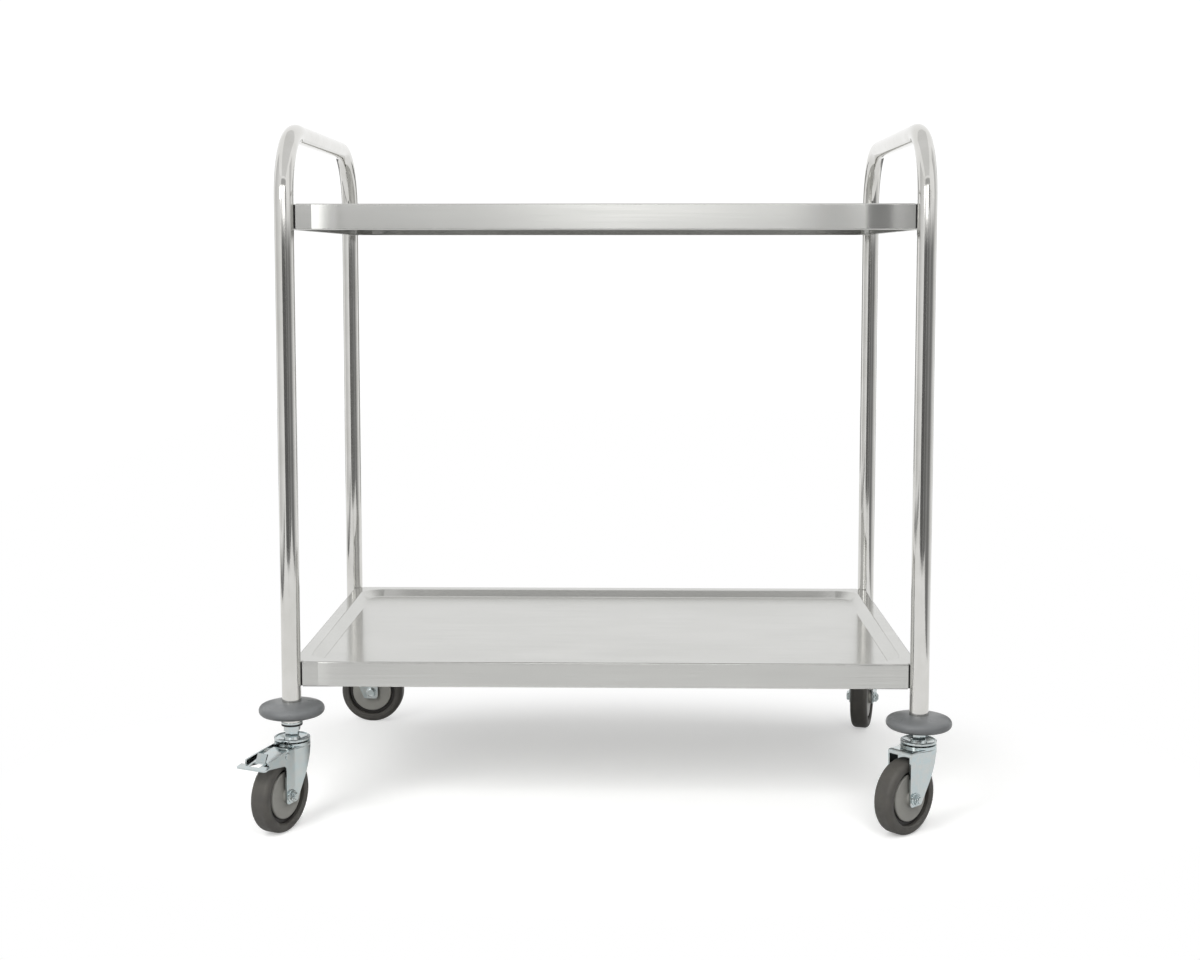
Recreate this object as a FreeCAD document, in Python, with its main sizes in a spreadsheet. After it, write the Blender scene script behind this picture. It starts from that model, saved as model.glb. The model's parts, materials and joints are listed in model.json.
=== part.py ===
import FreeCAD, Part
import math
import os
import Sketcher
from FreeCAD import Placement, Rotation, Vector

# Service cart: two pressed steel trays bolted between two bent tube end frames, on swivel castors.
# The origin is on the floor under the middle of the four legs. X runs along the cart, Y from the
# front to the rear and Z up. Lengths are millimetres and angles are degrees.

SIZES = {
    # End frames
    "leg_span_x": 835,
    "leg_span_y": 515,
    "tube_dia": 25.4,
    "tube_wall": 1.2,
    "tube_foot": 141,
    "handle_top": 937,
    "handle_bend": 90,
    # Trays
    "upper_rim": 828.3,
    "lower_rim": 221.4,
    "sheet_metal": 1.0,
    "tray_setback": 1.5,
    "skirt_height": 34,
    "lip_width": 12,
    "rim_width": 18,
    "tray_depth": 10,
    "wall_run": 13,
    "deck_corner": 20,
    "edge_bend": 2,
    "deck_bend": 4,
    # Stiffening channel under each tray
    "channel_length": 700,
    "channel_width": 90,
    "channel_height": 18,
    "channel_flange": 15,
    # Tray fixings
    "notch_gap": 1.8,
    "liner_play": 0.1,
    "liner_trim": 1.5,
    "bolt_drop": 20,
    "bolt_dia": 6,
    "bolt_reach": 5,
    "bolt_head_dia": 11,
    "bolt_head_height": 4,
    "bolt_chamfer": 1,
    "washer_dia": 13,
    "washer_thick": 1.2,
    "insert_dia": 9,
    "insert_depth": 10,
    "insert_flange_dia": 10,
    "insert_flange": 0.6,
    "bolt_play": 0.1,
    # Bumper rings
    "bumper_dia": 87,
    "bumper_height": 22,
    "bumper_edge": 7,
    "bumper_play": 0.15,
    "bumper_skirt": 8.5,
    "bumper_raise": 14,
    # Castor stem in the foot of the leg
    "stem_dia": 10,
    "stem_reach": 52,
    "stem_chamfer": 1,
    "sleeve_length": 48,
    "sleeve_chamfer": 2,
    "stem_play": 0.1,
    "collar_dia": 28.6,
    "collar_thick": 2,
    "collar_play": 0.4,
    "seal_dia": 28,
    "seal_thick": 2.8,
    "hex_flats": 20,
    "hex_height": 7.2,
    "foot_flats": 16.5,
    "neck_dia": 15,
    # Castor head
    "head_dia": 48,
    "kingpin_dia": 12,
    "kingpin_play": 0.06,
    "rivet_dia": 19,
    "rivet_thick": 3.5,
    "rivet_gap": 0.3,
    "cup_top": 121,
    "cup_height": 4.2,
    "cup_rim": 3,
    "cup_metal": 0.8,
    "cup_belly": 0.8,
    "cup_chamfer": 1,
    "cup_slope": 2,
    "head_gap": 1.4,
    "race_height": 2.4,
    "race_step": 0.3,
    "housing_depth": 8.4,
    "housing_wall": 3.2,
    "ball_dia": 3.5,
    "ball_circle": 34,
    "ball_seat": 0.05,
    "ball_gap": 0.3,
    # Castor fork
    "trail": 29,
    "fork_metal": 2.5,
    "fork_width": 38,
    "fork_bend": 3,
    "fork_flat_start": 22,
    "fork_front_drop": 8,
    "fork_front_run": 10,
    "leg_end_fore": 10.5,
    "leg_end_aft": 11,
    "leg_end_drop": 10,
    "leg_end_round": 5,
    "crown_flange": 6,
    "front_left_turn": -114,
    "front_right_turn": -137,
    "rear_left_turn": -3,
    "rear_right_turn": -105,
    # Wheel and axle
    "wheel_dia": 100,
    "tread_width": 27,
    "tread_round": 7,
    "tyre_bore": 75,
    "tyre_lip": 1.5,
    "bond_gap": 0.05,
    "rim_inset": 6,
    "rim_thick": 5,
    "web_thick": 7,
    "core_draft": 1,
    "hub_dia": 28,
    "bush_dia": 16,
    "bush_play": 0.05,
    "spacer_dia": 12,
    "guard_dia": 63.5,
    "guard_thick": 3,
    "guard_gap": 0.6,
    "guard_boss_dia": 20,
    "guard_dome": 1,
    "axle_dia": 8,
    "axle_play": 0.1,
    "axle_flats": 13,
    "axle_head": 5.3,
    "axle_nut": 6.8,
    "axle_tail": 1,
    # Brake
    "pivot_out": 37,
    "pivot_height": 104.5,
    "pivot_dia": 5,
    "pivot_play": 0.06,
    "pivot_head_dia": 9,
    "pivot_head": 1.2,
    "wing_reach": 78,
    "wing_tip_top": 107.5,
    "wing_tip_height": 9.6,
    "wing_root_height": 93.7,
    "wing_round": 6,
    "crown_cut": 20.5,
    "pedal_reach": 92,
    "pedal_back": 12.2,
    "pedal_lift": 2.7,
    "pedal_slope": 8.8,
    "pedal_metal": 2,
    "pedal_width": 46,
    "pedal_side_gap": 4.5,
    "pedal_lip": 12,
    "pedal_round": 3,
    "window_start": 35,
    "window_length": 13,
    "window_width": 16,
    "tongue_length": 14,
    "tongue_lean": 54,
    "tongue_gap": 0.5,
    "cam_dia": 7.8,
    "cam_nose": 4.6,
    "cam_angle": 82,
    "cam_nose_width": 1.8,
    "cam_width": 24,
    "spring_metal": 0.8,
    "spring_width": 12,
    "spring_start": 12,
    "spring_bend": 24.5,
    "spring_gap": 0.5,
    "spring_dip": 2,
}
BALLS_IN_RACE = 12
FULL_TURN = 360.0
ZERO_TEXT = "0.0"
# Differences below this are rounding in the solids
TINY = 1e-3


class Size:
    """A number together with the sheet expression that it comes from."""

    def __init__(self, value, text):
        self.value = value
        self.text = text

    def __add__(self, other):
        other = as_size(other)
        return Size(self.value + other.value, f"({self.text} + {other.text})")

    def __radd__(self, other):
        return as_size(other) + self

    def __sub__(self, other):
        other = as_size(other)
        return Size(self.value - other.value, f"({self.text} - {other.text})")

    def __rsub__(self, other):
        return as_size(other) - self

    def __mul__(self, other):
        other = as_size(other)
        return Size(self.value * other.value, f"({self.text} * {other.text})")

    def __rmul__(self, other):
        return as_size(other) * self

    def __truediv__(self, other):
        other = as_size(other)
        return Size(self.value / other.value, f"({self.text} / {other.text})")

    def __neg__(self):
        return Size(-self.value, f"(0 - {self.text})")


def as_size(thing):
    if isinstance(thing, Size):
        return thing
    return Size(float(thing), f"({float(thing)})" if thing < 0 else f"{float(thing)}")


def root(size):
    return Size(math.sqrt(size.value), f"sqrt({size.text})")


def cosine(size):
    return Size(math.cos(math.radians(size.value)), f"cos({size.text} * 1 deg)")


def sine(size):
    return Size(math.sin(math.radians(size.value)), f"sin({size.text} * 1 deg)")


class SizeSheet:
    """The driving dimensions, held in the document's sheet and read by name."""

    def __init__(self, document, numbers):
        sheet = document.addObject("Spreadsheet::Sheet", "Sizes")
        for row, (alias, number) in enumerate(numbers.items(), start=1):
            sheet.set(f"A{row}", alias)
            sheet.set(f"B{row}", str(number))
            sheet.setAlias(f"B{row}", alias)
        document.recompute()
        self.sheet = sheet

    def __getattr__(self, alias):
        return Size(float(self.sheet.get(alias)), f"Sizes.{alias}")


doc = FreeCAD.newDocument("service_cart")
size = SizeSheet(doc, SIZES)
nodes = []


def bind(item, prop, value):
    item.setExpression(prop, as_size(value).text)


def new_body(name):
    body = doc.addObject("PartDesign::Body", name)
    body.Label = name
    return body


def keep(item, name):
    """Mark a finished object as a sub-part of its own."""
    item.Label = name
    nodes.append(item)
    return item


def place(item, x=0, y=0, z=0, turn=None):
    """Bind where a sub-part stands, and how far it is turned about the vertical."""
    for letter, value in (("x", x), ("y", y), ("z", z)):
        bind(item, f"Placement.Base.{letter}", value)
    if turn is not None:
        item.Placement = Placement(Vector(0, 0, 0), Rotation(Vector(0, 0, 1), 1))
        bind(item, "Placement.Rotation.Angle", turn)


def new_sketch(body, name, plane, lift=None):
    sketch = body.newObject("Sketcher::SketchObject", f"{body.Name}_{name}")
    role = f"{plane}_Plane"
    support = [part for part in body.Origin.OriginFeatures if part.Role == role][0]
    sketch.AttachmentSupport = [(support, "")]
    sketch.MapMode = "FlatFace"
    if lift is not None:
        bind(sketch, "AttachmentOffset.Base.z", lift)
    return sketch


def add_arc(sketch, start, stop, radius):
    """Add a short arc; a positive radius turns left from start to stop, a negative one right."""
    reach = abs(radius.value)
    chord = stop - start
    height = math.sqrt(max(reach ** 2 - (chord.Length / 2) ** 2, 0))
    side = math.copysign(height / chord.Length, radius.value)
    centre = (start + stop) * 0.5 + Vector(-chord.y, chord.x, 0) * side
    first, last = (start, stop) if radius.value > 0 else (stop, start)
    begin = math.atan2(first.y - centre.y, first.x - centre.x)
    end = math.atan2(last.y - centre.y, last.x - centre.x)
    if end < begin:
        end += 2 * math.pi
    circle = Part.Circle(centre, Vector(0, 0, 1), reach)
    geo = sketch.addGeometry(Part.ArcOfCircle(circle, begin, end))
    index = sketch.addConstraint(Sketcher.Constraint("Radius", geo, reach))
    bind(sketch, f"Constraints[{index}]", radius if radius.value > 0 else -radius)
    return (geo, 1, 2) if radius.value > 0 else (geo, 2, 1)


def pin_point(sketch, geo, spot, x, y):
    """Hold a sketch point at a place that follows the sheet."""
    for kind, axis, value in (("DistanceX", -2, x), ("DistanceY", -1, y)):
        if value.text == ZERO_TEXT:
            sketch.addConstraint(Sketcher.Constraint("PointOnObject", geo, spot, axis))
        else:
            index = sketch.addConstraint(Sketcher.Constraint(kind, -1, 1, geo, spot, value.value))
            bind(sketch, f"Constraints[{index}]", value)


def add_chain(sketch, points, closed=True):
    """Draw lines and arcs through points of (x, y) or (x, y, radius of the arc that follows)."""
    corners = [(as_size(point[0]), as_size(point[1])) for point in points]
    radii = [as_size(point[2]) if len(point) > 2 else None for point in points]
    spots = [Vector(x.value, y.value, 0) for x, y in corners]
    count = len(spots) if closed else len(spots) - 1
    runs = []
    for index in range(count):
        start = spots[index]
        stop = spots[(index + 1) % len(spots)]
        if radii[index] is None:
            runs.append((sketch.addGeometry(Part.LineSegment(start, stop)), 1, 2))
        else:
            runs.append(add_arc(sketch, start, stop, radii[index]))
    for index in range(count):
        if index or closed:
            before = runs[index - 1]
            joint = Sketcher.Constraint("Coincident", before[0], before[2], runs[index][0], runs[index][1])
            sketch.addConstraint(joint)
        pin_point(sketch, runs[index][0], runs[index][1], *corners[index])
    if not closed:
        pin_point(sketch, runs[-1][0], runs[-1][2], *corners[-1])
    return sketch


def add_circle(sketch, x, y, radius):
    x, y, radius = as_size(x), as_size(y), as_size(radius)
    circle = Part.Circle(Vector(x.value, y.value, 0), Vector(0, 0, 1), radius.value)
    geo = sketch.addGeometry(circle)
    pin_point(sketch, geo, 3, x, y)
    index = sketch.addConstraint(Sketcher.Constraint("Radius", geo, radius.value))
    bind(sketch, f"Constraints[{index}]", radius)
    return sketch


def hexagon(flats):
    """Corners of a hexagon with two flats square to the first axis."""
    half = flats / 2
    corner = flats / math.sqrt(3)
    return [(half, -corner / 2), (half, corner / 2), (0, corner),
            (-half, corner / 2), (-half, -corner / 2), (0, -corner)]


def oblong(x_low, x_high, y_low, y_high):
    return [(x_low, y_low), (x_high, y_low), (x_high, y_high), (x_low, y_high)]


def feature(body, kind, sketch, **settings):
    """Add a sketch based feature, with its sizes bound to the sheet."""
    item = body.newObject(f"PartDesign::{kind}", f"{sketch.Name}_{kind}")
    item.Profile = sketch
    for prop, value in settings.items():
        if isinstance(value, Size):
            bind(item, prop, value)
        else:
            setattr(item, prop, value)
    return item


def pad(body, sketch, length, **settings):
    return feature(body, "Pad", sketch, Length=length, **settings)


def revolve(body, sketch, axis="V_Axis"):
    return feature(body, "Revolution", sketch, ReferenceAxis=(sketch, [axis]), Angle=FULL_TURN)


def cut(body, kind, sketch, **settings):
    """Cut a sketch into the body and check that it removed something."""
    doc.recompute()
    before = body.Shape.Volume
    item = feature(body, kind, sketch, **settings)
    doc.recompute()
    if not body.Shape.Volume < before:
        raise RuntimeError(f"{item.Name} cuts nothing")
    return item


def pocket(body, sketch, length, **settings):
    return cut(body, "Pocket", sketch, Length=length, **settings)


def bore_along(body, sketch):
    """Turn a half profile about the sketch's first axis and cut it out of the body."""
    return cut(body, "Groove", sketch, ReferenceAxis=(sketch, ["H_Axis"]), Angle=FULL_TURN)


def fillet_where(body, radius, wanted):
    """Round every edge of the body for which wanted(edge) holds."""
    doc.recompute()
    base = body.Tip
    names = [f"Edge{n}" for n, edge in enumerate(base.Shape.Edges, start=1) if wanted(edge)]
    if not names:
        raise RuntimeError(f"{body.Name} has no edge to round")
    item = body.newObject("PartDesign::Fillet", f"{body.Name}_Fillet")
    item.Base = (base, names)
    bind(item, "Radius", radius)
    doc.recompute()
    return item


def group(name, members):
    """Hold separate solids of one kind in one sub-part."""
    whole = doc.addObject("Part::Compound", name)
    whole.Links = members
    return keep(whole, name)


# Corners of the cart: name, side along X, side along Y, castor has a brake, bumper pushed up the leg
CORNERS = [
    ("front_left", -1, -1, True, True),
    ("front_right", 1, -1, False, False),
    ("rear_left", -1, 1, True, False),
    ("rear_right", 1, 1, False, False),
]
LEVELS = [("upper", size.upper_rim), ("lower", size.lower_rim)]

# Values that several sub-parts share
half_x = size.leg_span_x / 2
half_y = size.leg_span_y / 2
tube_r = size.tube_dia / 2
notch_r = tube_r + size.notch_gap
wheel_r = size.wheel_dia / 2
collar_top = size.tube_foot
collar_low = collar_top - size.collar_thick
seal_low = collar_low - size.seal_thick
hex_low = seal_low - size.hex_height
cup_low = size.cup_top - size.cup_height
race_top = cup_low - size.head_gap
crown_top = race_top - size.race_height
crown_low = crown_top - size.fork_metal
housing_low = race_top - size.housing_depth
fork_in = size.fork_width / 2 - size.fork_metal
ball_level = (cup_low + race_top) / 2
leg_end_low = wheel_r - size.leg_end_drop
leg_aft = size.trail + size.leg_end_aft
bumper_low = collar_top - size.bumper_skirt


def diagonal_sketch(body, name, side_x, side_y, level):
    """A level sketch with its first axis running from a leg towards the middle of the tray."""
    sketch = new_sketch(body, name, "XY", level)
    turn = math.degrees(math.atan2(-side_y, -side_x))
    sketch.AttachmentOffset = Placement(Vector(0, 0, 0), Rotation(Vector(0, 0, 1), turn))
    bind(sketch, "AttachmentOffset.Base.x", side_x * half_x)
    bind(sketch, "AttachmentOffset.Base.y", side_y * half_y)
    bind(sketch, "AttachmentOffset.Base.z", level)
    return sketch


def end_frame(name, side_x):
    """One tube bent into an inverted U: two legs and the push handle between them."""
    body = new_body(name)
    axis_x = side_x * half_x
    bar = size.handle_top - tube_r
    bend = size.handle_bend
    path = new_sketch(body, "path", "YZ", axis_x)
    add_chain(path, [
        (-half_y, size.tube_foot),
        (-half_y, bar - bend, -bend),
        (bend - half_y, bar),
        (half_y - bend, bar, -bend),
        (half_y, bar - bend),
        (half_y, size.tube_foot),
    ], closed=False)
    ring = new_sketch(body, "ring", "XY", size.tube_foot)
    add_circle(ring, axis_x, -half_y, tube_r)
    add_circle(ring, axis_x, -half_y, tube_r - size.tube_wall)
    pipe = body.newObject("PartDesign::AdditivePipe", f"{name}_pipe")
    pipe.Profile = ring
    pipe.Spine = path
    hole_r = size.insert_dia / 2 + size.bolt_play
    for side_y in (-1, 1):
        for label, rim in LEVELS:
            hole = diagonal_sketch(body, f"{label}_hole", side_x, side_y, rim - size.bolt_drop)
            bore_along(body, add_chain(hole, oblong(0, size.tube_dia, 0, hole_r)))
    return keep(body, name)


def notched_rectangle(inset):
    """The tray's plan, set in by inset, with a hollow corner round each leg."""
    edge_x = half_x - size.tray_setback - inset
    edge_y = half_y - size.tray_setback - inset
    radius = notch_r + inset
    off = size.tray_setback + inset
    reach = root(radius * radius - off * off)
    near_x = half_x - reach
    near_y = half_y - reach
    return [
        (-near_x, -edge_y), (near_x, -edge_y, -radius),
        (edge_x, -near_y), (edge_x, near_y, -radius),
        (near_x, edge_y), (-near_x, edge_y, -radius),
        (-edge_x, near_y), (-edge_x, -near_y, -radius),
    ]


def rounded_rectangle(edge_x, edge_y, radius):
    return [
        (radius - edge_x, -edge_y), (edge_x - radius, -edge_y, radius),
        (edge_x, radius - edge_y), (edge_x, edge_y - radius, radius),
        (edge_x - radius, edge_y), (radius - edge_x, edge_y, radius),
        (-edge_x, edge_y - radius), (-edge_x, radius - edge_y, radius),
    ]


def tray_loft(body, kind, drop, spread):
    """Join the tray's rim opening to its deck; drop and spread give the sheet its thickness."""
    rim_x = half_x - size.tray_setback - size.rim_width + spread
    rim_y = half_y - size.tray_setback - size.rim_width + spread
    rim = new_sketch(body, f"{kind}_rim", "XY", -drop)
    add_chain(rim, rounded_rectangle(rim_x, rim_y, size.deck_corner + size.wall_run + spread))
    deck = new_sketch(body, f"{kind}_deck", "XY", -drop - size.tray_depth)
    deck_x = rim_x - size.wall_run
    deck_y = rim_y - size.wall_run
    add_chain(deck, rounded_rectangle(deck_x, deck_y, size.deck_corner + spread))
    loft = body.newObject(f"PartDesign::{kind}", f"{body.Name}_{kind}")
    loft.Profile = rim
    loft.Sections = [deck]
    loft.Ruled = True
    return loft


def tray(name, rim_height):
    """A pressed steel tray: flat rim, sunk deck, deep skirt and a lip turned in at its foot."""
    body = new_body(name)
    plan = add_chain(new_sketch(body, "plan", "XY"), notched_rectangle(as_size(0)))
    pad(body, plan, size.skirt_height, Reversed=True)
    mouth = new_sketch(body, "mouth", "XY", -size.skirt_height)
    pocket(body, add_chain(mouth, notched_rectangle(size.lip_width)), size.sheet_metal, Reversed=True)
    hollow = new_sketch(body, "hollow", "XY", size.sheet_metal - size.skirt_height)
    hollow_depth = size.skirt_height - 2 * size.sheet_metal
    pocket(body, add_chain(hollow, notched_rectangle(size.sheet_metal)), hollow_depth, Reversed=True)
    tray_loft(body, "AdditiveLoft", size.sheet_metal, size.sheet_metal)
    tray_loft(body, "SubtractiveLoft", as_size(0), as_size(0))
    opening_x = (half_x - size.tray_setback - size.rim_width).value
    opening_y = (half_y - size.tray_setback - size.rim_width).value
    deck_level = -size.tray_depth.value
    skirt_foot = -size.skirt_height.value

    def is_level(edge, level):
        return abs(edge.BoundBox.ZMin - level) < TINY and abs(edge.BoundBox.ZMax - level) < TINY

    def outside_rim(edge):
        middle = edge.valueAt((edge.FirstParameter + edge.LastParameter) / 2)
        return abs(middle.x) > opening_x + TINY or abs(middle.y) > opening_y + TINY

    fillet_where(body, size.edge_bend, lambda edge: is_level(edge, 0) and outside_rim(edge))
    fillet_where(body, size.edge_bend - size.sheet_metal / 2,
                 lambda edge: is_level(edge, skirt_foot) and outside_rim(edge) and on_skirt(edge))
    fillet_where(body, size.deck_bend, lambda edge: is_level(edge, deck_level))
    fillet_where(body, size.deck_bend, lambda edge: is_level(edge, 0) and not outside_rim(edge))
    hole_r = size.bolt_dia / 2 + size.bolt_play
    for side_x in (-1, 1):
        for side_y in (-1, 1):
            hole = diagonal_sketch(body, "bolt_hole", side_x, side_y, -size.bolt_drop)
            past_wall = notch_r + 2 * size.sheet_metal
            bore_along(body, add_chain(hole, oblong(tube_r, past_wall, 0, hole_r)))
    place(body, z=rim_height)
    return keep(body, name)


def on_skirt(edge):
    """True for an edge on the outer face of a tray's skirt or corner hollows."""
    middle = edge.valueAt((edge.FirstParameter + edge.LastParameter) / 2)
    skirt_x = (half_x - size.tray_setback).value
    skirt_y = (half_y - size.tray_setback).value
    from_leg = math.hypot(abs(middle.x) - half_x.value, abs(middle.y) - half_y.value)
    on_side = max(abs(middle.x) - skirt_x, abs(middle.y) - skirt_y) > -TINY
    return on_side or from_leg < notch_r.value + TINY


def channel(name, rim_height):
    """A top hat channel welded under the deck to stiffen it."""
    body = new_body(name)
    outer = size.channel_width / 2
    inner = outer - size.channel_flange
    metal = size.sheet_metal
    foot = -size.channel_height
    section = new_sketch(body, "section", "YZ")
    add_chain(section, [
        (-outer, 0), (-outer, -metal), (-inner - metal, -metal), (-inner - metal, foot),
        (inner + metal, foot), (inner + metal, -metal), (outer, -metal), (outer, 0),
        (inner, 0), (inner, foot + metal), (-inner, foot + metal), (-inner, 0),
    ])
    pad(body, section, size.channel_length, Midplane=True)
    place(body, z=rim_height - size.tray_depth - size.sheet_metal)
    return keep(body, name)


def tray_fixings():
    """Bolts, washers, threaded inserts and liners at the eight places where a tray meets a leg."""
    bolt_r = size.bolt_dia / 2
    seat = notch_r + size.sheet_metal
    head = seat + size.washer_thick
    thread_r = bolt_r + size.bolt_play
    insert_r = size.insert_dia / 2
    flange_top = tube_r + size.insert_flange
    profiles = {
        "shelf_bolts": [
            (tube_r - size.bolt_reach, 0), (head + size.bolt_head_height, 0),
            (head + size.bolt_head_height, size.bolt_head_dia / 2 - size.bolt_chamfer),
            (head + size.bolt_head_height - size.bolt_chamfer, size.bolt_head_dia / 2),
            (head, size.bolt_head_dia / 2),
            (head, bolt_r), (tube_r - size.bolt_reach, bolt_r),
        ],
        "shelf_washers": oblong(seat, head, thread_r, size.washer_dia / 2),
        "tube_inserts": [
            (tube_r - size.insert_depth, thread_r), (flange_top, thread_r),
            (flange_top, size.insert_flange_dia / 2), (tube_r, size.insert_flange_dia / 2),
            (tube_r, insert_r), (tube_r - size.insert_depth, insert_r),
        ],
    }
    members = {name: [] for name in profiles}
    liners = []
    for corner, side_x, side_y, _, _ in CORNERS:
        for label, rim in LEVELS:
            place_name = f"{corner}_{label}"
            for name, points in profiles.items():
                body = new_body(f"{name}_{place_name}")
                sketch = diagonal_sketch(body, "half", side_x, side_y, rim - size.bolt_drop)
                revolve(body, add_chain(sketch, points), "H_Axis")
                members[name].append(body)
            liners.append(liner(f"corner_liner_{place_name}", side_x, side_y, rim))
    for name, bodies in members.items():
        group(name, bodies)
    group("corner_liners", liners)


def liner(name, side_x, side_y, rim_height):
    """A black saddle that fills the gap between a leg and the hollow corner of a tray."""
    body = new_body(name)
    height = size.skirt_height - 2 * size.liner_trim
    low = rim_height - size.skirt_height + size.liner_trim
    inner = tube_r + size.liner_play
    outer = notch_r - size.liner_play
    edge = size.tray_setback + size.liner_play
    inner_side = root(inner * inner - edge * edge)
    outer_side = root(outer * outer - edge * edge)
    plan = new_sketch(body, "plan", "XY", low)
    points = [(edge, inner_side), (edge, outer_side, -outer), (outer_side, edge), (inner_side, edge, inner)]
    mirrored = [(-side_x * x, -side_y * y, *[side_x * side_y * r for r in arc]) for x, y, *arc in points]
    add_chain(plan, mirrored)
    pad(body, plan, height)
    hole = new_sketch(body, "hole", "XY")
    turn = math.degrees(math.atan2(-side_y, -side_x))
    hole.AttachmentOffset = Placement(Vector(0, 0, 0), Rotation(Vector(0, 0, 1), turn))
    bind(hole, "AttachmentOffset.Base.z", rim_height - size.bolt_drop)
    hole_r = size.insert_flange_dia / 2 + size.bolt_play
    bore_along(body, add_chain(hole, oblong(0, 2 * notch_r, 0, hole_r)))
    place(body, x=side_x * half_x, y=side_y * half_y)
    return body


def turned(name, points):
    """A piece turned about its own upright axis from a half profile of (radius, height)."""
    body = new_body(name)
    revolve(body, add_chain(new_sketch(body, "half", "XZ"), points))
    return body


def spun(name, points):
    """A piece turned about the wheel's axle from a half profile of (radius, along the axle)."""
    body = new_body(name)
    revolve(body, add_chain(new_sketch(body, "half", "XY"), points))
    return body


def bumper(name, low):
    """A saucer shaped ring round the foot of the leg, hollowed below to seat on the collar."""
    bore = tube_r + size.bumper_play
    half = size.bumper_height / 2
    edge = size.bumper_edge
    edge_at = size.bumper_dia / 2 - edge
    run = edge_at - bore
    rise = half - edge
    below = (run * run - rise * rise) / (2 * rise)
    crown = half + below
    share = edge / (crown - edge)
    touch = edge_at + run * share
    touch_up = below * share
    seat_r = size.collar_dia / 2 + size.collar_play
    foot_dip = crown - root(crown * crown - (seat_r - bore) * (seat_r - bore))
    return turned(name, [
        (bore, low + size.bumper_skirt), (seat_r, low + size.bumper_skirt), (seat_r, low + foot_dip, crown),
        (touch, low + half - touch_up, edge), (touch, low + half + touch_up, crown),
        (bore, low + size.bumper_height),
    ])


def stem(name):
    """The castor's stem: a stud in the leg, a collar and two hexagons below it, and the swivel pin."""
    shank = size.kingpin_dia / 2
    neck = size.neck_dia / 2
    rivet = size.rivet_dia / 2
    rivet_top = crown_low - size.rivet_gap
    rivet_low = rivet_top - size.rivet_thick
    stud = size.stem_dia / 2
    collar = size.collar_dia / 2
    top = collar_top + size.stem_reach
    chamfer = size.stem_chamfer
    body = turned(name, [
        (0, rivet_low), (rivet - chamfer, rivet_low), (rivet, rivet_low + chamfer), (rivet, rivet_top),
        (shank, rivet_top), (shank, size.cup_top), (neck, size.cup_top), (neck, collar_low),
        (collar, collar_low), (collar, collar_top), (stud, collar_top), (stud, top - chamfer),
        (stud - chamfer, top), (0, top),
    ])
    hexed = new_sketch(body, "hexagon", "XY", hex_low)
    pad(body, add_chain(hexed, hexagon(size.hex_flats)), size.hex_height)
    foot = new_sketch(body, "foot", "XY", size.cup_top)
    pad(body, add_chain(foot, hexagon(size.foot_flats)), hex_low - size.cup_top)
    return body


def stem_washers():
    """Black sealing washers between the collars and the hexagons of the castor stems."""
    washers = []
    bore = size.neck_dia / 2 + size.stem_play
    for corner, side_x, side_y, _, _ in CORNERS:
        body = turned(f"stem_washer_{corner}", oblong(bore, size.seal_dia / 2, seal_low, collar_low))
        place(body, side_x * half_x, side_y * half_y)
        washers.append(body)
    group("stem_washers", washers)


def race_cup(name):
    """The fixed upper race of the swivel bearing, a cup with a conical dish and a rolled rim."""
    bore = size.kingpin_dia / 2 + size.stem_play
    rim = size.head_dia / 2
    belly = cup_low - size.cup_belly
    dish = belly + size.cup_metal
    ball = size.ball_dia / 2 + size.ball_seat
    circle = size.ball_circle / 2
    up = cup_low - ball_level
    half_groove = root(ball * ball - up * up)
    bead = size.cup_rim / 2
    shoulder = size.neck_dia / 2 + size.cup_slope
    chamfer = size.cup_chamfer
    belly_r = shoulder + size.cup_slope + size.cup_metal
    return turned(name, [
        (bore, belly), (belly_r, belly), (belly_r + size.cup_belly, cup_low),
        (circle - half_groove, cup_low, -ball), (circle + half_groove, cup_low),
        (rim - chamfer, cup_low), (rim, cup_low + chamfer), (rim, size.cup_top - bead, bead),
        (rim - bead, size.cup_top, bead), (rim - 2 * bead, size.cup_top - bead),
        (shoulder + size.cup_slope, dish), (shoulder, size.cup_top), (bore, size.cup_top),
    ])


def swivel_balls():
    """Loose balls of the four swivel bearings."""
    balls = []
    for corner, side_x, side_y, _, _ in CORNERS:
        for number in range(BALLS_IN_RACE):
            angle = math.radians(FULL_TURN * number / BALLS_IN_RACE)
            ball = doc.addObject("Part::Sphere", f"ball_{corner}_{number}")
            bind(ball, "Radius", size.ball_dia / 2)
            reach = size.ball_circle / 2
            place(ball, side_x * half_x + reach * math.cos(angle),
                  side_y * half_y + reach * math.sin(angle), ball_level)
            balls.append(ball)
    group("swivel_balls", balls)


def stem_sleeves():
    """Plastic sleeves that grip the inside of the legs round the castor stems."""
    sleeves = []
    bore = size.stem_dia / 2 + size.stem_play
    outer = tube_r - size.tube_wall - size.stem_play
    top = collar_top + size.sleeve_length
    chamfer = size.sleeve_chamfer
    for corner, side_x, side_y, _, _ in CORNERS:
        body = turned(f"sleeve_{corner}", [
            (bore, collar_top), (outer, collar_top), (outer, top - chamfer),
            (outer - chamfer, top), (bore, top),
        ])
        place(body, side_x * half_x, side_y * half_y)
        sleeves.append(body)
    group("stem_sleeves", sleeves)


def fork_plan(inset, aft):
    """Plan of the fork: round in front under the swivel head, flat cheeks beside the wheel."""
    radius = size.head_dia / 2 - inset
    cheek = size.fork_width / 2 - inset
    start = size.fork_flat_start
    # The straight walls between the cheeks and the round front touch it without a kink
    far = start * start + cheek * cheek
    share = radius * radius / far
    swing = radius * root(far - radius * radius) / far
    touch_x = start * share - cheek * swing
    touch_y = cheek * share + start * swing
    return [
        (aft, -cheek), (aft, cheek), (start, cheek), (touch_x, touch_y, radius),
        (-radius, 0, radius), (touch_x, -touch_y), (start, -cheek),
    ]


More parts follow.
